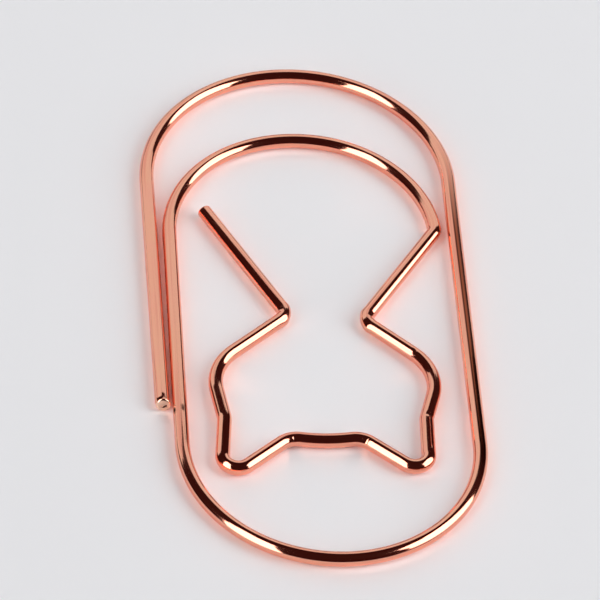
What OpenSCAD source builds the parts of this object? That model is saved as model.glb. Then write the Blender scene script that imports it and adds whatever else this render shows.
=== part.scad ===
// Paper clip bent from one length of plated round wire. Two loops lie one inside the
// other, and the inner one, the tongue, ends in the outline of a cat's head, ears down.
// The clip lies flat on z = 0 with its length along Y, and the origin is under the
// middle of its outline. In plan, sizes are measured from the middle of the bottom bend.

/* [Wire] */
// Diameter of the wire
wire_d = 1.2; // [0.8:0.1:1.4]
// Bevel that the shears leave round a cut end
cut_bevel = 0.12; // [0.04:0.02:0.24]

/* [Outer loop] */
// Length of the whole clip
clip_l = 55.4; // [52:0.1:62]
// Width of the bottom bend, from the middle of one leg to the middle of the other
loop_w = 23.9; // [23:0.1:28]
// Height of the free leg's cut end
free_end_h = 4; // [0:0.25:15]
// Gap between the free leg and the inner leg at the cut end
leg_gap = 0.2; // [0.1:0.05:1]
// Angle by which the free leg leans out from the inner leg
leg_splay = 0.55; // [0:0.05:2]
// Slit across the lowest point of the bottom bend, where the wire twists
twist_slit = 0.02; // [0.01:0.01:0.05]

/* [Tongue] */
// Open space between the tops of the two upper bends
bend_gap = 6.7; // [4:0.1:9]
// Gap between the tongue's corner, unrounded, and the right leg
corner_gap = 0.45; // [0.2:0.05:1]
// Length of wire that the corner's bend takes up on each side
corner_setback = 0.35; // [0.2:0.05:0.6]
// Angle by which the inner bend still opens outwards where it meets the corner
corner_flare = 4.2; // [0:0.2:10]
// Length of the left brace, from the chin to its cut end
brace_l = 13.5; // [8:0.25:14.5]
// Angle of the left brace from the clip's length
brace_lean = 27.8; // [25:0.2:40]

/* [Head] */
// Height of the crown's shoulders
crown_h = 0.65; // [-2:0.05:2]
// Width of the crown, between its shoulders
crown_w = 5.85; // [5:0.05:7]
// Depth of the crown's dip, unrounded
crown_dip = 0.45; // [0.2:0.05:0.8]
// Length of wire that a shoulder's bend takes up on each side
shoulder_setback = 0.9; // [0.5:0.05:1.2]
// Gap between a cheek, unrounded, and the leg beside it
cheek_gap = 1.4; // [0.6:0.05:2.5]
// Height of the cheeks above the crown
cheek_rise = 7.45; // [6.5:0.05:9]
// Distance of a temple, where ear and face meet, inside the cheek
temple_inset = 1.2; // [0.9:0.02:1.6]
// Height of the temples above the crown
temple_rise = 2.05; // [1:0.05:3]
// Distance of an ear's point, unrounded, inside the cheek
ear_inset = 1.02; // [0.4:0.02:1.4]
// Depth of the ears' points below the crown
ear_drop = 4.55; // [3:0.05:6]
// Width between the two points of the chin
chin_w = 6.2; // [4.5:0.05:8]
// Height of the chin above the crown
chin_rise = 13.1; // [12:0.05:15]
// Shift of the crown to the right of the bottom bend's middle
head_shift = -0.42; // [-1:0.02:1]
// Angle by which the head leans to the right on its way up
head_lean = 3.7; // [0:0.1:6]
// Height that the left cheek gains and the right one loses
cheek_skew = 0.18; // [-0.3:0.02:0.3]
// Height that the left chin point gains and the right one loses
chin_skew = 0.28; // [-0.3:0.02:0.3]
// Height that the right ear gains and the left one loses
ear_skew = 0.24; // [-0.3:0.02:0.3]

/* [Bend radii, to the middle of the wire] */
// Chin
chin_r = 1.2; // [1:0.1:2]
// Cheeks
cheek_r = 4.65; // [2:0.05:5.5]
// Temples
temple_r = 2; // [1:0.1:3]
// Points of the ears
ear_r = 1.2; // [0.8:0.05:1.6]

/* [Hidden] */
$fn = 48;
ROSE_GOLD = "#d8977f";

// Outer loop: the right leg runs from the bottom bend to the top bend, whose radius is
// the one that touches both the right leg and the leaning free leg.
bottom_r = loop_w / 2;
top_y = clip_l - wire_d - bottom_r;
free_end = [-bottom_r - wire_d - leg_gap, free_end_h];
top_r = ((bottom_r - free_end.x) * cos(leg_splay) + (top_y - free_end.y) * sin(leg_splay))
    / (1 + cos(leg_splay) + sin(leg_splay));
top_c = [bottom_r - top_r, top_y - top_r];
free_top = top_c + polar(top_r, 180 + leg_splay);
slit_angle = asin(twist_slit / 2 / bottom_r);
middle = [top_c.x, (top_y - bottom_r) / 2];

// Inner bend: it leaves the inner leg and ends at the corner, clear of the right leg.
corner_x = bottom_r - wire_d - corner_gap;
inner_r = (corner_x + bottom_r - corner_setback * sin(corner_flare)) / (1 + cos(corner_flare));
inner_c = [inner_r - bottom_r, top_y - wire_d - bend_gap - inner_r];
inner_end = inner_c + polar(inner_r, corner_flare);
corner = inner_end + polar(corner_setback, corner_flare - 90);

// The head's points, before they are rounded: side is 1 on the right and -1 on the left.
cheek_w = loop_w - 2 * (wire_d + cheek_gap);
temple_w = cheek_w - 2 * temple_inset;
ear_w = cheek_w - 2 * ear_inset;
function head_point(side, w, rise, skew) =
    let (h = rise - side * skew)
    [head_shift + h * tan(head_lean) + side * w / 2, crown_h + h];
function chin(side) = head_point(side, chin_w, chin_rise, chin_skew);
function cheek(side) = head_point(side, cheek_w, cheek_rise, cheek_skew);
function temple(side) = head_point(side, temple_w, temple_rise, 0);
function ear(side) = head_point(side, ear_w, -ear_drop, -ear_skew);
function shoulder(side) = head_point(side, crown_w, 0, 0);
dip = [head_shift, crown_h - crown_dip];
brace_end = chin(-1) + polar(brace_l, 90 + brace_lean);

// The wire's way round the head, as points with the radius of the bend at each, and the
// place of each bend in the list.
points = [inner_end, corner,
    chin(1), cheek(1), temple(1), ear(1), shoulder(1), dip,
    shoulder(-1), ear(-1), temple(-1), cheek(-1), chin(-1), brace_end];
CORNER = 1;
CHIN_R = 2;
CHEEK_R = 3;
TEMPLE_R = 4;
EAR_R = 5;
SHOULDER_R = 6;
DIP = 7;
SHOULDER_L = 8;
EAR_L = 9;
TEMPLE_L = 10;
CHEEK_L = 11;
CHIN_L = 12;
dip_setback = norm(shoulder(1) - dip) - shoulder_setback;
radii = [0, radius(CORNER, corner_setback), chin_r, cheek_r, temple_r, ear_r,
    radius(SHOULDER_R, shoulder_setback), radius(DIP, dip_setback),
    radius(SHOULDER_L, shoulder_setback), ear_r, temple_r, cheek_r, chin_r, 0];

function polar(r, a) = r * [cos(a), sin(a)];
function heading(i) = let (d = points[i + 1] - points[i]) atan2(d.y, d.x);
// Turn of the wire at point i, positive to the left, between -180 and 180 degrees
function turn(i) = let (t = heading(i) - heading(i - 1)) t - 360 * round(t / 360);
// A bend's radius from the length that it takes up on each side of point i, and the reverse
function radius(i, setback) = setback / tan(abs(turn(i)) / 2);
function setback(i) = radii[i] == 0 ? 0 : radii[i] * tan(abs(turn(i)) / 2);
function run_start(i) = points[i] + polar(setback(i), heading(i));
function run_end(i) = points[i + 1] - polar(setback(i + 1), heading(i));

// A straight stretch of wire from p to q, with a bevel round the end at p
module rod(p, q, bevel = 0)
    translate(p)
        rotate([0, 90, atan2(q.y - p.y, q.x - p.x)]) {
            translate([0, 0, bevel])
                cylinder(d = wire_d, h = norm(q - p) - bevel);
            if (bevel > 0)
                cylinder(d1 = wire_d - 2 * bevel, d2 = wire_d, h = bevel);
        }

// A bent stretch of wire about c, from angle a through sweep to the left
module arc(c, r, a, sweep)
    translate(c)
        rotate(a)
            rotate_extrude(angle = sweep)
                translate([r, 0])
                    circle(d = wire_d);

// The straight stretch from the head's point i to the next, and the bend at point i
module run(i)
    rod(run_start(i), run_end(i));

module bend(i) {
    side = sign(turn(i));
    start = run_end(i - 1);
    centre = start + polar(radii[i], heading(i - 1) + side * 90);
    first = side > 0 ? heading(i - 1) - 90 : heading(i) + 90;
    arc(centre, radii[i], first, abs(turn(i)));
}

module wire()
    color(ROSE_GOLD)
        translate([-middle.x, -middle.y, wire_d / 2])
            children();

module free_leg() wire() rod(free_end, free_top, cut_bevel);
module top_bend() wire() arc(top_c, top_r, 0, 180 + leg_splay);
module right_leg() wire() rod([bottom_r, 0], [bottom_r, top_c.y]);
module bottom_bend_right() wire() arc([0, 0], bottom_r, slit_angle - 90, 90 - slit_angle);
module bottom_bend_left() wire() arc([0, 0], bottom_r, 180, 90 - slit_angle);
module inner_leg() wire() rod([-bottom_r, 0], [-bottom_r, inner_c.y]);
module inner_bend() wire() arc(inner_c, inner_r, corner_flare, 180 - corner_flare);
module tongue_corner() wire() bend(CORNER);
module right_brace() wire() run(CORNER);
module right_chin() wire() bend(CHIN_R);
module right_jaw() wire() run(CHIN_R);
module right_cheek() wire() bend(CHEEK_R);
module right_face_side() wire() run(CHEEK_R);
module right_temple() wire() bend(TEMPLE_R);
module right_ear_side() wire() run(TEMPLE_R);
module right_ear() wire() bend(EAR_R);
module right_brow() wire() run(EAR_R);
module right_shoulder() wire() bend(SHOULDER_R);
module crown() wire() bend(DIP);
module left_shoulder() wire() bend(SHOULDER_L);
module left_brow() wire() run(SHOULDER_L);
module left_ear() wire() bend(EAR_L);
module left_ear_side() wire() run(EAR_L);
module left_temple() wire() bend(TEMPLE_L);
module left_face_side() wire() run(TEMPLE_L);
module left_cheek() wire() bend(CHEEK_L);
module left_jaw() wire() run(CHEEK_L);
module left_chin() wire() bend(CHIN_L);
module left_brace() wire() rod(brace_end, run_start(CHIN_L), cut_bevel);

free_leg();
top_bend();
right_leg();
bottom_bend_right();
bottom_bend_left();
inner_leg();
inner_bend();
tongue_corner();
right_brace();
right_chin();
right_jaw();
right_cheek();
right_face_side();
right_temple();
right_ear_side();
right_ear();
right_brow();
right_shoulder();
crown();
left_shoulder();
left_brow();
left_ear();
left_ear_side();
left_temple();
left_face_side();
left_cheek();
left_jaw();
left_chin();
left_brace();
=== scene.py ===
import math

import bpy
import numpy as np
from mathutils import Matrix, Vector


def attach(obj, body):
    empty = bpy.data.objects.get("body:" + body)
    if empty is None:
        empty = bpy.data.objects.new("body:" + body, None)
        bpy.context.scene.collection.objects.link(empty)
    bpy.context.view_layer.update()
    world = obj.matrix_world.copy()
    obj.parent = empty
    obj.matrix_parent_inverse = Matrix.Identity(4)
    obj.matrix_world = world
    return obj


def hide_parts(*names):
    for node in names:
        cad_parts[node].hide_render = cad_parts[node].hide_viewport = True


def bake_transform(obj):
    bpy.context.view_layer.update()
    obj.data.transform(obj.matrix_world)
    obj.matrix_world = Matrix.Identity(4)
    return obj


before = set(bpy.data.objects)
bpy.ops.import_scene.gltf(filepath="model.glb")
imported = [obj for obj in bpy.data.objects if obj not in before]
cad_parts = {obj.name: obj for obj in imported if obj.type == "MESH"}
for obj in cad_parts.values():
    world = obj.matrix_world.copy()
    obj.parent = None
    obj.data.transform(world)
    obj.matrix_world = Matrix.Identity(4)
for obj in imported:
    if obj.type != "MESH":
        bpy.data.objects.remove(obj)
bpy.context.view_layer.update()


# Outer wire
# The outside of the clip: the first half of one length of drawn steel wire, polished and
# plated in rose gold.  It is sheared off the coil, fed straight for the free leg, drawn
# round a large pin for the top bend and fed straight again for the right leg.
MM = 0.001
wire_d = 1.2 * MM
clip_l = 55.4 * MM           # outside length
loop_w = 23.9 * MM           # between the middles of the two long sides
free_end_h = 4 * MM          # free end above the centre of the bottom bend
leg_gap = 0.2 * MM           # air between the free leg and the inner leg
leg_splay = 0.55             # lean of the free leg, degrees
section_sides = 40
feed_step = 0.2 * MM         # length of one step of the mesh on a straight and on a bend
bend_step = 0.2 * MM
tightest_step = math.radians(4)      # and the most that a step turns on a tight bend
smooth_angle = math.radians(35)
hair = wire_d / 100          # a length too small to matter
shear_l = 0.45 * MM          # length that the shears squeeze at the free end
shear_lean = 8               # the cut face leans back, degrees
shear_side = 0.1 * MM        # and is pushed aside
cut_bevel = 0.12 * MM
neck_girth = 0.965           # of the wire

bottom_r = loop_w / 2
top_y = clip_l - wire_d - bottom_r
free_end_x = -bottom_r - wire_d - leg_gap
splay_cos = math.cos(math.radians(leg_splay))
splay_sin = math.sin(math.radians(leg_splay))
top_r = (((bottom_r - free_end_x) * splay_cos + (top_y - free_end_h) * splay_sin)
         / (1 + splay_cos + splay_sin))
top_pin = Vector((bottom_r - top_r, top_y - top_r))
middle = Vector((top_pin.x, (top_y - bottom_r) / 2))     # origin of the frame, in the plan


def polar(length, degrees):
    return Vector((math.cos(math.radians(degrees)), math.sin(math.radians(degrees)))) * length


def form_wire(name, start, heading, program):
    """Form a wire as a bending machine does: ("feed", length) pushes it on, in steps of its own
    if a third number is given, and ("bend", turn, radius) draws it round a pin, to the left if
    the turn is positive."""
    bpy.ops.object.select_all(action="DESELECT")
    bpy.ops.mesh.primitive_circle_add(
        vertices=section_sides, radius=wire_d / 2, fill_type="NOTHING",
        location=(*(start - middle), wire_d / 2),
        rotation=(-math.pi / 2, 0, math.radians(heading - 90)))
    wire = bpy.context.object
    wire.name = wire.data.name = name
    bpy.ops.object.transform_apply(location=True, rotation=True, scale=True)
    bpy.ops.object.mode_set(mode="EDIT")
    bpy.ops.mesh.select_all(action="SELECT")
    at = start.copy()
    for action, amount, *pin_size in program:
        if action == "feed":
            steps = max(1, round(amount / (pin_size[0] if pin_size else feed_step)))
            push = polar(amount / steps, heading)
            bpy.ops.mesh.extrude_repeat(steps=steps, offset=(push.x, push.y, 0))
            at += polar(amount, heading)
        else:
            radius = pin_size[0]
            side = math.copysign(90, amount)
            pin = at + polar(radius, heading + side)
            arc = abs(math.radians(amount))
            steps = max(3, round(arc * radius / bend_step), round(arc / tightest_step))
            bpy.ops.mesh.spin(
                steps=steps, angle=-math.radians(amount), axis=(0, 0, 1),
                center=(*(pin - middle), wire_d / 2))
            heading += amount
            at = pin + polar(radius, heading - side)
    bpy.ops.mesh.select_all(action="SELECT")
    bpy.ops.mesh.remove_doubles(threshold=hair / 4)
    bpy.ops.mesh.select_all(action="DESELECT")
    bpy.ops.object.mode_set(mode="OBJECT")
    return wire, at, heading


def close_ends(wire):
    """Fill the wire's open ends and turn all its faces outwards."""
    bpy.ops.object.mode_set(mode="EDIT")
    bpy.ops.mesh.select_all(action="SELECT")
    bpy.ops.mesh.fill_holes(sides=0)
    bpy.ops.mesh.normals_make_consistent(inside=False)
    bpy.ops.mesh.select_all(action="DESELECT")
    bpy.ops.object.mode_set(mode="OBJECT")
    bpy.ops.object.shade_smooth_by_angle(angle=smooth_angle)


def pick(wire, chosen):
    """Select just these points of a wire and go into edit mode."""
    bpy.ops.object.mode_set(mode="EDIT")
    bpy.ops.mesh.select_mode(type="VERT")
    bpy.ops.mesh.select_all(action="DESELECT")
    bpy.ops.object.mode_set(mode="OBJECT")
    for number in np.flatnonzero(chosen):
        wire.data.vertices[int(number)].select = True
    bpy.ops.object.mode_set(mode="EDIT")
    bpy.ops.mesh.select_mode(type="VERT")


def straight_marks(wire):
    """Where each point was on the straight wire, as mark_straight stored it."""
    marks = np.zeros(3 * len(wire.data.vertices), np.float32)
    wire.data.attributes["straight_wire"].data.foreach_get("vector", marks)
    return marks.reshape(-1, 3)


def press(wire, along, facing, depth, length=0, spread=0, reach=0.2 * MM):
    """Push a mark into the wire with the forming tools: it faces so many degrees up from the
    wire's right, is so long and goes so far round, and the metal within reach follows it."""
    marks = straight_marks(wire)
    turn = np.degrees(np.arctan2(marks[:, 2], marks[:, 1])) - facing
    turn = abs((turn + 180) % 360 - 180)
    chosen = (abs(marks[:, 0] - along) < max(length, feed_step) / 2 + 1e-9)
    chosen &= turn < max(spread, 360 / section_sides) / 2 + 0.01
    pick(wire, chosen)
    bpy.ops.object.mode_set(mode="OBJECT")
    inwards = -sum((wire.data.vertices[int(i)].normal for i in np.flatnonzero(chosen)), Vector())
    bpy.ops.object.mode_set(mode="EDIT")
    bpy.ops.transform.translate(
        value=inwards.normalized() * depth, use_proportional_edit=True,
        proportional_edit_falloff="SMOOTH", proportional_size=reach)
    bpy.ops.mesh.select_all(action="DESELECT")
    bpy.ops.object.mode_set(mode="OBJECT")


def mark_straight(wire, start, heading, program, along):
    """Store where each point was on the straight wire: along it, to its right and above."""
    points = np.array([v.co[:] for v in wire.data.vertices])
    flat = points[:, :2] + np.array(middle)
    straight = np.zeros_like(points)
    straight[:, 2] = points[:, 2] - wire_d / 2
    reach, slack = wire_d * 0.56, wire_d * 0.02
    at = start.copy()
    for action, amount, *pin_size in program:
        if action == "feed":
            ahead, right = polar(1, heading), polar(1, heading - 90)
            gone = (flat - np.array(at)) @ np.array(ahead)
            beside = (flat - np.array(at)) @ np.array(right)
            length = amount
            at += ahead * amount
        else:
            radius = pin_size[0]
            side = math.copysign(90, amount)
            pin = at + polar(radius, heading + side)
            out = flat - np.array(pin)
            first = math.radians(heading - side)
            turned = np.arctan2(out[:, 1], out[:, 0]) - first
            turned = np.mod(turned * math.copysign(1, amount) + 0.5, 2 * math.pi) - 0.5
            gone = turned * radius
            beside = (np.hypot(out[:, 0], out[:, 1]) - radius) * math.copysign(1, amount)
            length = abs(math.radians(amount)) * radius
            heading += amount
            at = pin + polar(radius, heading - side)
        here = (gone > -slack) & (gone < length + slack) & (abs(beside) < reach)
        straight[here, 0] = along + gone[here]
        straight[here, 1] = beside[here]
        along += length
    marks = wire.data.attributes.new("straight_wire", "FLOAT_VECTOR", "POINT")
    marks.data.foreach_set("vector", straight.astype(np.float32).ravel())
    return along


# Rose gold plate: pale copper over polished steel, with the faint lines that the drawing
# die left along the wire.  Each size of a pattern is first along the wire, then across it.
plate_colour = (0.97, 0.39, 0.29, 1)
plate_tan = (0.94, 0.44, 0.28, 1)
plate_red = (0.88, 0.30, 0.21, 1)
plate_haze = (0.06, 0.14)    # roughness, beside the lines and on them
line_size = (9 * MM, 0.11 * MM)
streak_size = (16 * MM, 0.3 * MM)
cloud_size = (2.2 * MM, 2.2 * MM)
grain_size = (0.16 * MM, 0.16 * MM)
relief_depth = 0.0026 * MM
rose_plate = bpy.data.materials.new("rose_gold_plate")
rose_plate.use_nodes = True
plate_nodes = rose_plate.node_tree.nodes
metal = plate_nodes["Principled BSDF"]
metal.inputs["Metallic"].default_value = 1


def give(socket, value):
    """Set a node's input to a number or a colour, or link it to another node's output."""
    if isinstance(value, bpy.types.NodeSocket):
        socket.id_data.links.new(value, socket)
    else:
        socket.default_value = value


def combine(operation, *values):
    """Add, multiply or otherwise combine masks and numbers.  The first is a mask."""
    node = values[0].id_data.nodes.new("ShaderNodeMath")
    node.operation = operation
    for socket, value in zip(node.inputs, values):
        give(socket, value)
    return node.outputs["Value"]


def mix(share, first, second, kind="RGBA"):
    """The first colour where the mask is 0, the second where it is 1.  FLOAT mixes numbers."""
    node = share.id_data.nodes.new("ShaderNodeMix")
    node.data_type = kind
    for socket, value in (("Factor", share), ("A", first), ("B", second)):
        give(node.inputs[socket], value)
    return node.outputs["Result"]


def ramp(value, start, end, low=0, high=1, rise="SMOOTHSTEP"):
    """Go from low at start to high at end, with soft ends or, if LINEAR, evenly."""
    node = value.id_data.nodes.new("ShaderNodeMapRange")
    node.interpolation_type = rise
    (least, least_level), (most, most_level) = sorted(((start, low), (end, high)))
    give(node.inputs["From Min"], least)
    give(node.inputs["From Max"], most)
    give(node.inputs["To Min"], least_level)
    give(node.inputs["To Max"], most_level)
    give(node.inputs["Value"], value)
    return node.outputs["Result"]


def window(value, opens, closes, unit):
    """A mask that opens between two marks and closes between two others."""
    opening = ramp(value, opens[0] * unit, opens[1] * unit)
    closing = ramp(value, closes[1] * unit, closes[0] * unit)
    return combine("MULTIPLY", opening, closing)


def stored(name):
    """What the points of the wires keep under this name."""
    node = plate_nodes.new("ShaderNodeAttribute")
    node.attribute_name = name
    return node


def noise(size, detail):
    """Noise on the straight wire, of one size along it and another across."""
    along, across = size
    stretch = plate_nodes.new("ShaderNodeVectorMath")
    stretch.operation = "MULTIPLY"
    give(stretch.inputs[0], straight)
    give(stretch.inputs[1], (1 / along, 1 / across, 1 / across))
    node = plate_nodes.new("ShaderNodeTexNoise")
    give(node.inputs["Vector"], stretch.outputs["Vector"])
    give(node.inputs["Scale"], 1)
    give(node.inputs["Detail"], detail)
    return node.outputs["Fac"]


straight = stored("straight_wire").outputs["Vector"]
places = plate_nodes.new("ShaderNodeSeparateXYZ")
give(places.inputs["Vector"], straight)
along_wire = places.outputs["X"]
round_wire = combine("ARCTAN2", places.outputs["Z"], places.outputs["Y"])
lines = noise(line_size, 3)
clouds = noise(cloud_size, 2)
streaks = ramp(noise(streak_size, 2), 0.5, 0.7, rise="LINEAR")
plate = mix(clouds, plate_colour, plate_tan)
plate = mix(streaks, plate, plate_red)

# In the torn slot and the two pits the plate is painted near-black and dull; in the slot's recess
# this is painted shade.
dark_slot_pit_colour = (0.016, 0.005, 0.004, 1)
dark_slot_pit_haze = 0.75
dark_slot_pit_share = stored("dark_slot_pit").outputs["Fac"]
plate = mix(dark_slot_pit_share, plate, dark_slot_pit_colour)
haze = ramp(lines, 0.35, 0.75, *plate_haze, "LINEAR")
give(metal.inputs["Roughness"], mix(dark_slot_pit_share, haze, dark_slot_pit_haze, "FLOAT"))

# A painted reflection of the dark ceiling: a brown band along the top of the right leg, darkest along
# its two edges. It begins and ends between these degrees round the wire and these mm along it.
DEGREE = math.radians(1)
painted_reflection_brown = (0.34, 0.085, 0.042, 1)
painted_reflection_dark = (0.12, 0.026, 0.014, 1)
painted_reflection_round = ((76, 84), (119, 129))
painted_reflection_along = ((60, 73), (96, 100))
painted_reflection_paler_round = ((88, 97), (104, 112))
painted_reflection = mix(window(round_wire, *painted_reflection_paler_round, DEGREE), painted_reflection_dark, painted_reflection_brown)
painted_reflection_band = combine("MULTIPLY", window(round_wire, *painted_reflection_round, DEGREE),
               window(along_wire, *painted_reflection_along, MM))
plate = mix(painted_reflection_band, plate, painted_reflection)

# The plate is thin and pale on the sheared face.
cut_colour = (1, 0.70, 0.53, 1)
plate = mix(stored("cut_face").outputs["Fac"], plate, cut_colour)
give(metal.inputs["Base Color"], plate)

# The lines stand out a little, with a grain in patches, and a long scratch runs down the right
# side of the head, between temple and ear.
scratch_depth = 0.03 * MM
scratch_round = ((105, 111), (111, 117))
scratch_along = ((215.1, 215.5), (218.4, 218.8))
patches = ramp(clouds, 0.48, 0.66, 0, 0.5, "LINEAR")
relief_height = combine("MULTIPLY_ADD", noise(grain_size, 2), patches, lines)
scratch = combine("MULTIPLY", window(round_wire, *scratch_round, DEGREE),
                  window(along_wire, *scratch_along, MM))
relief_height = combine("MULTIPLY_ADD", scratch, -scratch_depth / relief_depth, relief_height)
relief = plate_nodes.new("ShaderNodeBump")
give(relief.inputs["Strength"], 1)
give(relief.inputs["Distance"], relief_depth)
give(relief.inputs["Height"], relief_height)

# The head slopes a little on its braces, more on its left.  The mesh stays flat, as the CAD
# is, and only the normals are turned, which moves the reflections.
right_slope = 1.6            # degrees
left_slope = 3.0
head_along = ((201, 205), (256, 260))
crown_from = 222 * MM
crown_to = 236 * MM
twist = combine("MULTIPLY_ADD", ramp(along_wire, crown_from, crown_to),
                math.radians(left_slope - right_slope), math.radians(right_slope))
surface = plate_nodes.new("ShaderNodeNewGeometry")
sloped = plate_nodes.new("ShaderNodeVectorRotate")
sloped.rotation_type = "X_AXIS"
give(sloped.inputs["Vector"], surface.outputs["Normal"])
give(sloped.inputs["Angle"], combine("MULTIPLY", window(along_wire, *head_along, MM), twist))
give(relief.inputs["Normal"], sloped.outputs["Vector"])
give(metal.inputs["Normal"], relief.outputs["Normal"])

free_end = Vector((free_end_x, free_end_h))
free_top = top_pin + polar(top_r, 180 + leg_splay)
outer_start = 90 + leg_splay
outer_program = [
    ("feed", shear_l, shear_l / 3),
    ("feed", (free_top - free_end).length - shear_l),
    ("bend", -(180 + leg_splay), top_r),
    ("feed", top_pin.y),
]
outer_wire, outer_last, outer_heading = form_wire("outer_wire", free_end, outer_start, outer_program)
close_ends(outer_wire)
outer_along = mark_straight(outer_wire, free_end, outer_start, outer_program, 0)
# The shears squeeze a neck, leave the face leaning back with a rounded rim, and tear a small
# slot in it, painted near-black inside: painted shade in the recess, over the torn plate.
slot_rims = (0.12 * MM, 0.1 * MM, 0.05 * MM)     # from the face's rim in to the slot
slot_shape = (1.3, 1, 0.5)
slot_turn = 45               # degrees
slot_move = (0.08 * MM, -0.01 * MM, -0.15 * MM)
slot_depth = 0.12 * MM
slot_dark = 0.9
for share, girth in ((1, 1), (2 / 3, 1), (1 / 3, neck_girth)):
    heel = free_end + polar(shear_l * (1 - share), outer_start) - middle
    pick(outer_wire, abs(straight_marks(outer_wire)[:, 0] - shear_l * (1 - share)) < hair)
    bpy.ops.transform.resize(value=(girth, girth, girth), center_override=(*heel, wire_d / 2))
    bpy.ops.transform.rotate(
        value=math.radians(shear_lean * share), orient_axis="X", orient_type="GLOBAL",
        center_override=(*heel, 0))
    bpy.ops.transform.translate(value=(shear_side * share, 0, 0))
    bpy.ops.object.mode_set(mode="OBJECT")
pick(outer_wire, straight_marks(outer_wire)[:, 0] < hair)
bpy.ops.mesh.bevel(offset=cut_bevel, segments=4, affect="EDGES")
bpy.ops.mesh.select_mode(type="FACE")
bpy.ops.mesh.select_all(action="DESELECT")
bpy.ops.object.mode_set(mode="OBJECT")
end_at = Vector((free_end.x + shear_side - middle.x, free_end.y - middle.y, wire_d / 2))
cut_face = min(outer_wire.data.polygons,
               key=lambda face: (len(face.vertices) != section_sides, (face.center - end_at).length))
cut_face.select = True
face_middle = cut_face.center.copy()
bpy.ops.object.mode_set(mode="EDIT")
for slot_rim in slot_rims:
    bpy.ops.mesh.inset(thickness=slot_rim, depth=0)
bpy.ops.transform.resize(value=slot_shape, center_override=face_middle)
bpy.ops.transform.rotate(
    value=math.radians(slot_turn), orient_axis="Y", orient_type="GLOBAL", center_override=face_middle)
bpy.ops.transform.translate(value=slot_move)
bpy.ops.mesh.extrude_region_move(TRANSFORM_OT_translate={"value": (0, slot_depth, 0)})
bpy.ops.object.mode_set(mode="OBJECT")
# The slot's points are painted near-black: painted shade in the recess.
slot_share = np.array([slot_dark * point.select for point in outer_wire.data.vertices])
slot_marks = outer_wire.data.attributes.new("dark_slot_pit", "FLOAT", "POINT")
slot_marks.data.foreach_set("value", slot_share.astype(np.float32))
bpy.ops.object.shade_smooth_by_angle(angle=smooth_angle)
# One blade leaves a dent behind the neck.
dent_along = 0.6 * MM
dent_depth = 0.03 * MM
press(outer_wire, dent_along, 78, dent_depth, length=0.3 * MM, reach=0.15 * MM)
into_wire = straight_marks(outer_wire)[:, 0]
face_share = np.clip((cut_bevel + 0.01 * MM - into_wire) / (cut_bevel / 2), 0, 1) - slot_share
face_marks = outer_wire.data.attributes.new("cut_face", "FLOAT", "POINT")
face_marks.data.foreach_set("value", face_share.astype(np.float32))
outer_wire.data.materials.append(rose_plate)
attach(outer_wire, "outer_loop")
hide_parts("free_leg", "top_bend", "right_leg")


# Bottom bend
# The round bottom of the clip: the same wire drawn half a turn round a pin.  It is the
# spring: when the tongue is lifted, this bend twists from the outer side to the inner one.
bend_program = [("bend", -90, bottom_r), ("bend", -90, bottom_r)]
bend_wire, bend_last, bend_heading = form_wire("bend_wire", outer_last, outer_heading, bend_program)
close_ends(bend_wire)
bend_along = mark_straight(bend_wire, outer_last, outer_heading, bend_program, outer_along)
bend_wire.data.materials.append(rose_plate)
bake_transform(bend_wire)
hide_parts("bottom_bend_right", "bottom_bend_left")


# Tongue
# The springy inside: the same wire goes on up the inner leg, round the inner bend and into
# the figure, a head with two ears, whose braces run up to the bend and to the sheared end.
bend_gap = 6.7 * MM          # air between the two top bends
corner_gap = 0.45 * MM       # air between the tongue's corner and the right leg
corner_setback = 0.35 * MM
corner_flare = 4.2           # degrees of the inner bend left open
brace_l = 13.5 * MM
brace_lean = 27.8            # degrees from upright
crown_h = 0.65 * MM          # above the centre of the bottom bend
crown_w = 5.85 * MM
crown_dip = 0.45 * MM
shoulder_setback = 0.9 * MM
cheek_gap = 1.4 * MM         # air between the cheeks and the long sides
cheek_rise = 7.45 * MM       # above the crown
temple_inset = 1.2 * MM      # in from the cheeks
temple_rise = 2.05 * MM
ear_inset = 1.02 * MM
ear_drop = 4.55 * MM         # below the crown
chin_w = 6.2 * MM
chin_rise = 13.1 * MM
head_shift = -0.42 * MM
head_lean = 3.7              # degrees
cheek_skew = 0.18 * MM       # the two cheeks, chins and ears are so far out of level
chin_skew = 0.28 * MM
ear_skew = 0.24 * MM
chin_r = 1.2 * MM
cheek_r = 4.65 * MM
temple_r = 2 * MM
ear_r = 1.2 * MM

flare = math.radians(corner_flare)
corner_x = bottom_r - wire_d - corner_gap
inner_r = (corner_x + bottom_r - corner_setback * math.sin(flare)) / (1 + math.cos(flare))
inner_pin = Vector((inner_r - bottom_r, top_y - wire_d - bend_gap - inner_r))
inner_end = inner_pin + polar(inner_r, corner_flare)
cheek_w = loop_w - 2 * (wire_d + cheek_gap)


def head_point(side, width, rise, skew=0):
    """A corner of the head: its two sides lean together and are a little out of true."""
    height = rise - side * skew
    lean = height * math.tan(math.radians(head_lean))
    return Vector((head_shift + lean + side * width / 2, crown_h + height))


chin, cheek, temple, ear, shoulder = (
    {side: head_point(side, width, rise, skew) for side in (1, -1)}
    for width, rise, skew in (
        (chin_w, chin_rise, chin_skew),
        (cheek_w, cheek_rise, cheek_skew),
        (cheek_w - 2 * temple_inset, temple_rise, 0),
        (cheek_w - 2 * ear_inset, -ear_drop, -ear_skew),
        (crown_w, 0, 0)))
dip = Vector((head_shift, crown_h - crown_dip))
dip_setback = (shoulder[1] - dip).length - shoulder_setback
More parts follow.
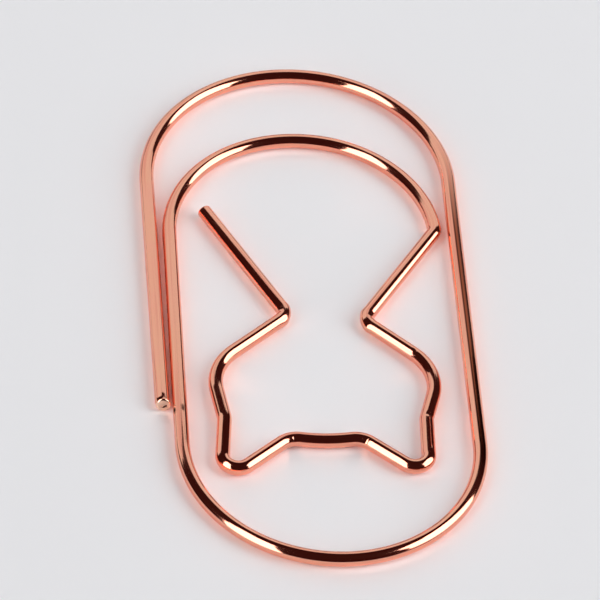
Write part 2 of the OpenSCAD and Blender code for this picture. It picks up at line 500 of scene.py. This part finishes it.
# each corner of the figure with its pin radius, or with the straight that its bend takes up
corners = [
    ("inner bend", inner_end, "radius", 0),
    ("corner", inner_end + polar(corner_setback, corner_flare - 90), "setback", corner_setback),
    ("right chin", chin[1], "radius", chin_r),
    ("right cheek", cheek[1], "radius", cheek_r),
    ("right temple", temple[1], "radius", temple_r),
    ("right ear", ear[1], "radius", ear_r),
    ("right shoulder", shoulder[1], "setback", shoulder_setback),
    ("dip", dip, "setback", dip_setback),
    ("left shoulder", shoulder[-1], "setback", shoulder_setback),
    ("left ear", ear[-1], "radius", ear_r),
    ("left temple", temple[-1], "radius", temple_r),
    ("left cheek", cheek[-1], "radius", cheek_r),
    ("left chin", chin[-1], "radius", chin_r),
    ("brace end", chin[-1] + polar(brace_l, 90 + brace_lean), "radius", 0),
]


def way(a, b):
    return math.degrees(math.atan2(b.y - a.y, b.x - a.x))


tongue_program = [("feed", inner_pin.y), ("bend", -(180 - corner_flare), inner_r)]
fed = bend_along + inner_pin.y + math.radians(180 - corner_flare) * inner_r
bend_middle = {}
taken = 0
for (_, before, _, _), (name, here, kind, amount), (_, after, _, _) in zip(
        corners, corners[1:], corners[2:]):
    turn = (way(here, after) - way(before, here) + 180) % 360 - 180
    half = math.tan(math.radians(abs(turn) / 2))
    radius = amount / half if kind == "setback" else amount
    straight_part = (here - before).length - taken - radius * half
    if straight_part > hair:
        tongue_program.append(("feed", straight_part))
        fed += straight_part
    tongue_program.append(("bend", turn, radius))
    bend_middle[name] = fed + math.radians(abs(turn)) * radius / 2
    fed += math.radians(abs(turn)) * radius
    taken = radius * half
tongue_program.append(("feed", brace_l - taken))
tongue_wire, _, _ = form_wire("tongue_wire", bend_last, bend_heading, tongue_program)
close_ends(tongue_wire)
tongue_along = mark_straight(tongue_wire, bend_last, bend_heading, tongue_program, bend_along)

# The brace's end is cut square and its rim broken.
pick(tongue_wire, straight_marks(tongue_wire)[:, 0] > tongue_along - hair)
bpy.ops.mesh.bevel(offset=cut_bevel, segments=3, affect="EDGES")
bpy.ops.mesh.select_all(action="DESELECT")
bpy.ops.object.mode_set(mode="OBJECT")
bpy.ops.object.shade_smooth_by_angle(angle=smooth_angle)

# The chins are struck over a square tool: their tips are a little flat and a crease is left
# inside.
tip_half = 0.65 * MM
tip_swell = 0.04 * MM
crease_depth = 0.06 * MM
for name in ("right chin", "left chin"):
    for tip_end in (bend_middle[name] - tip_half, bend_middle[name] + tip_half):
        press(tongue_wire, tip_end, 0, -tip_swell, spread=50, reach=0.45 * MM)
    press(tongue_wire, bend_middle[name], 160, crease_depth, spread=90, reach=0.3 * MM)

# The clamp leaves a line across the wire where some bends of the head begin: how far ahead of
# the bend's middle in mm, where it faces and how far round it goes in degrees, and its depth.
for name, ahead, facing, spread, depth in (
        ("right temple", -0.05, 112, 50, 0.018), ("right shoulder", -0.55, 138, 70, 0.045),
        ("left shoulder", -0.3, 128, 30, 0.045), ("right cheek", -2.4, 75, 30, 0.045)):
    press(tongue_wire, bend_middle[name] + ahead * MM, facing, depth * MM, spread=spread,
          reach=0.18 * MM)
# Two small pits are pressed into the inner leg beside the free end and painted near-black: where each
# faces, how far below the free end it is, and its half length and half width in mm.
pit_depth = 0.008 * MM
pit_fade = 1.9               # the plate is whole again at this many half lengths and widths
pit_dark = np.zeros(len(tongue_wire.data.vertices))
for pit_facing, pit_drop, pit_l, pit_w in ((147, 0.71, 0.24, 0.11), (72, 0.62, 0.2, 0.07)):
    pit_along = bend_along + free_end_h - pit_drop * MM
    press(tongue_wire, pit_along, pit_facing, pit_depth, length=0.3 * MM, reach=0.16 * MM)
    marks = straight_marks(tongue_wire)
    beside = np.radians(np.degrees(np.arctan2(marks[:, 2], marks[:, 1])) - pit_facing) * wire_d / 2
    off = np.hypot((marks[:, 0] - pit_along) / pit_l, beside / pit_w) / MM
    pit_dark = np.maximum(pit_dark, np.clip(pit_fade - off, 0, 1))
pit_dark_marks = tongue_wire.data.attributes.new("dark_slot_pit", "FLOAT", "POINT")
pit_dark_marks.data.foreach_set("value", pit_dark.astype(np.float32))
tongue_wire.data.materials.append(rose_plate)
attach(tongue_wire, "tongue")
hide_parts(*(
    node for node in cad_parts
    if node not in ("free_leg", "top_bend", "right_leg", "bottom_bend_right", "bottom_bend_left")))


# Floor
# The pale sweep that the clip lies on: matt paper, which fades into the same pale
# surroundings so that it has no edge from any side.
floor_colour = (0.87, 0.885, 0.91, 1)
floor_size = 1.2
floor_drop = 0.04 * MM       # the clip touches at a few points only, so most of it hangs clear
pale_colour = (0.765, 0.762, 0.80, 1)
fade_from = 0.16             # distance from the middle, metres
fade_to = 0.5
bpy.ops.object.select_all(action="DESELECT")
bpy.ops.mesh.primitive_plane_add(size=floor_size, location=(0, 0, -floor_drop))
bpy.ops.object.transform_apply(location=True)
floor = bpy.context.object
floor.name = floor.data.name = "floor"
paper = bpy.data.materials.new("pale_paper")
paper.use_nodes = True
paper_nodes = paper.node_tree.nodes
matt = paper_nodes["Principled BSDF"]
matt.inputs["Base Color"].default_value = floor_colour
matt.inputs["Roughness"].default_value = 0.7
matt.inputs["Specular IOR Level"].default_value = 0.15
place = paper_nodes.new("ShaderNodeTexCoord")
far = paper_nodes.new("ShaderNodeVectorMath")
far.operation = "LENGTH"
give(far.inputs[0], place.outputs["Object"])
give(matt.inputs["Alpha"], ramp(far.outputs["Value"], fade_to, fade_from))
floor.data.materials.append(paper)


# Light
# Two large soft panels, one at the right and one at the left towards the camera, under a
# dark ceiling, and a soft fill from behind.  A pale card stands behind the clip for the
# polished wire to mirror, and the camera sees the pale sweep all round.
panel_distance = 1.2
panel_colour = (1, 1, 1, 1)
right_light = 3.2
left_light = 2.5
fill_light = 1.45
card_colour = (0.92, 1, 1, 1)
card_distance = 0.162
card_light = 0.86


def soft_panel(name, direction, colour, strength, distance, corners_of_panel,
               seen_share=1, thrown_share=1):
    """A flat lamp square to a direction; its corners are shares of its distance.  It can count
    for less or more where the wire mirrors it, and where the wire throws it on the floor."""
    ahead = Vector(direction).normalized()
    across = Vector((0, 0, 1)).cross(ahead).normalized()
    upwards = ahead.cross(across)
    bpy.ops.object.select_all(action="DESELECT")
    bpy.ops.mesh.primitive_circle_add(vertices=len(corners_of_panel), fill_type="NGON")
    panel = bpy.context.object
    panel.name = panel.data.name = name
    for point, (x, y) in zip(panel.data.vertices, corners_of_panel):
        point.co = (ahead + across * x + upwards * y) * distance
    glow = bpy.data.materials.new(name + "_glow")
    glow.use_nodes = True
    glow_nodes = glow.node_tree.nodes
    glow_nodes.clear()
    path = glow_nodes.new("ShaderNodeLightPath")
    thrown = combine("MINIMUM", path.outputs["Diffuse Depth"], 1)
    mirrored = mix(thrown, strength * seen_share, strength * thrown_share, "FLOAT")
    shine = glow_nodes.new("ShaderNodeEmission")
    give(shine.inputs["Color"], colour)
    give(shine.inputs["Strength"], mix(path.outputs["Is Glossy Ray"], strength, mirrored, "FLOAT"))
    out = glow_nodes.new("ShaderNodeOutputMaterial")
    give(out.inputs["Surface"], shine.outputs["Emission"])
    panel.data.materials.append(glow)
    panel.visible_camera = False
    panel.visible_shadow = False
    return panel


soft_panel("right_panel", (0.8, -0.1, 0.6), panel_colour, right_light, panel_distance,
           [(-0.72, -0.40), (0.32, -0.68), (0.43, 0.58), (-0.28, 0.40)],
           seen_share=1, thrown_share=2.3)
soft_panel("left_panel", (-0.62, -0.42, 0.66), panel_colour, left_light, panel_distance,
           [(-0.28, -0.82), (0.64, -0.86), (0.0, 0.52), (-0.33, 0.73)],
           seen_share=1.27, thrown_share=2.3)
back_card = soft_panel("back_card", (-0.1, 0.85, 0.45), card_colour, card_light, card_distance,
                       [(-1.25, -0.36), (0.7, -0.36), (1.05, -0.5), (1.5, 0.06), (0.6, 0.45),
                        (-0.5, 0.45), (-1.15, 0.12)])
back_card.visible_diffuse = False
back_fill = soft_panel("back_fill", (-0.1, 0.85, 0.45), panel_colour, fill_light, panel_distance,
                       [(-0.9, -0.3), (0.9, -0.3), (0.9, 0.45), (-0.9, 0.45)])
back_fill.visible_glossy = False

# The studio: pale low down, dark overhead, and pale all round to the camera.
ceiling_colour = (0.036, 0.010, 0.009, 1)
pale_from = 0.15             # height of the direction of sight where the pale begins
pale_to = -0.35
floor_share = 0.4            # of the pale reaches the floor, and all of it the polished wire
world = bpy.data.worlds.new("studio")
bpy.context.scene.world = world
world.use_nodes = True
studio_nodes = world.node_tree.nodes
ray = studio_nodes.new("ShaderNodeLightPath")
look = studio_nodes.new("ShaderNodeTexCoord")
parts = studio_nodes.new("ShaderNodeSeparateXYZ")
give(parts.inputs["Vector"], look.outputs["Generated"])
low_down = ramp(parts.outputs["Z"], pale_from, pale_to)
mirrored = combine("ADD", ray.outputs["Is Glossy Ray"], ray.outputs["Is Transmission Ray"])
shown = combine("MULTIPLY_ADD", mirrored, 1 - floor_share, floor_share)
pale_share = combine("MAXIMUM", ray.outputs["Is Camera Ray"], combine("MULTIPLY", low_down, shown))
give(studio_nodes["Background"].inputs["Color"], mix(pale_share, ceiling_colour, pale_colour))

# The polished wire throws its light on the floor, so glossy light isn't filtered away.
bpy.context.scene.cycles.blur_glossy = 0.0


# Camera
# A long lens looks down on the clip from its bottom end, a little from the left, with a
# slight roll.
view_rise = math.radians(46.46)
view_swing = math.radians(8.27)
view_roll = math.radians(6.31)
view_distance = 369.85 * MM
view_target = Vector((-0.70, 0.62, 0.6)) * MM
forward = Vector((math.sin(view_swing) * math.cos(view_rise),
                  math.cos(view_swing) * math.cos(view_rise), -math.sin(view_rise)))
level_right = forward.cross(Vector((0, 0, 1))).normalized()
level_up = level_right.cross(forward)
right = level_right * math.cos(view_roll) + level_up * math.sin(view_roll)
up = level_up * math.cos(view_roll) - level_right * math.sin(view_roll)
lens = bpy.data.cameras.new("camera")
lens.sensor_width = 36
lens.lens = 270
lens.clip_start, lens.clip_end = 0.01, 10
camera = bpy.data.objects.new("camera", lens)
bpy.context.scene.collection.objects.link(camera)
camera.matrix_world = Matrix.Translation(view_target - forward * view_distance) @ Matrix(
    (right, up, -forward)).transposed().to_4x4()
bpy.context.scene.camera = camera
bpy.context.scene.view_settings.view_transform = "Standard"
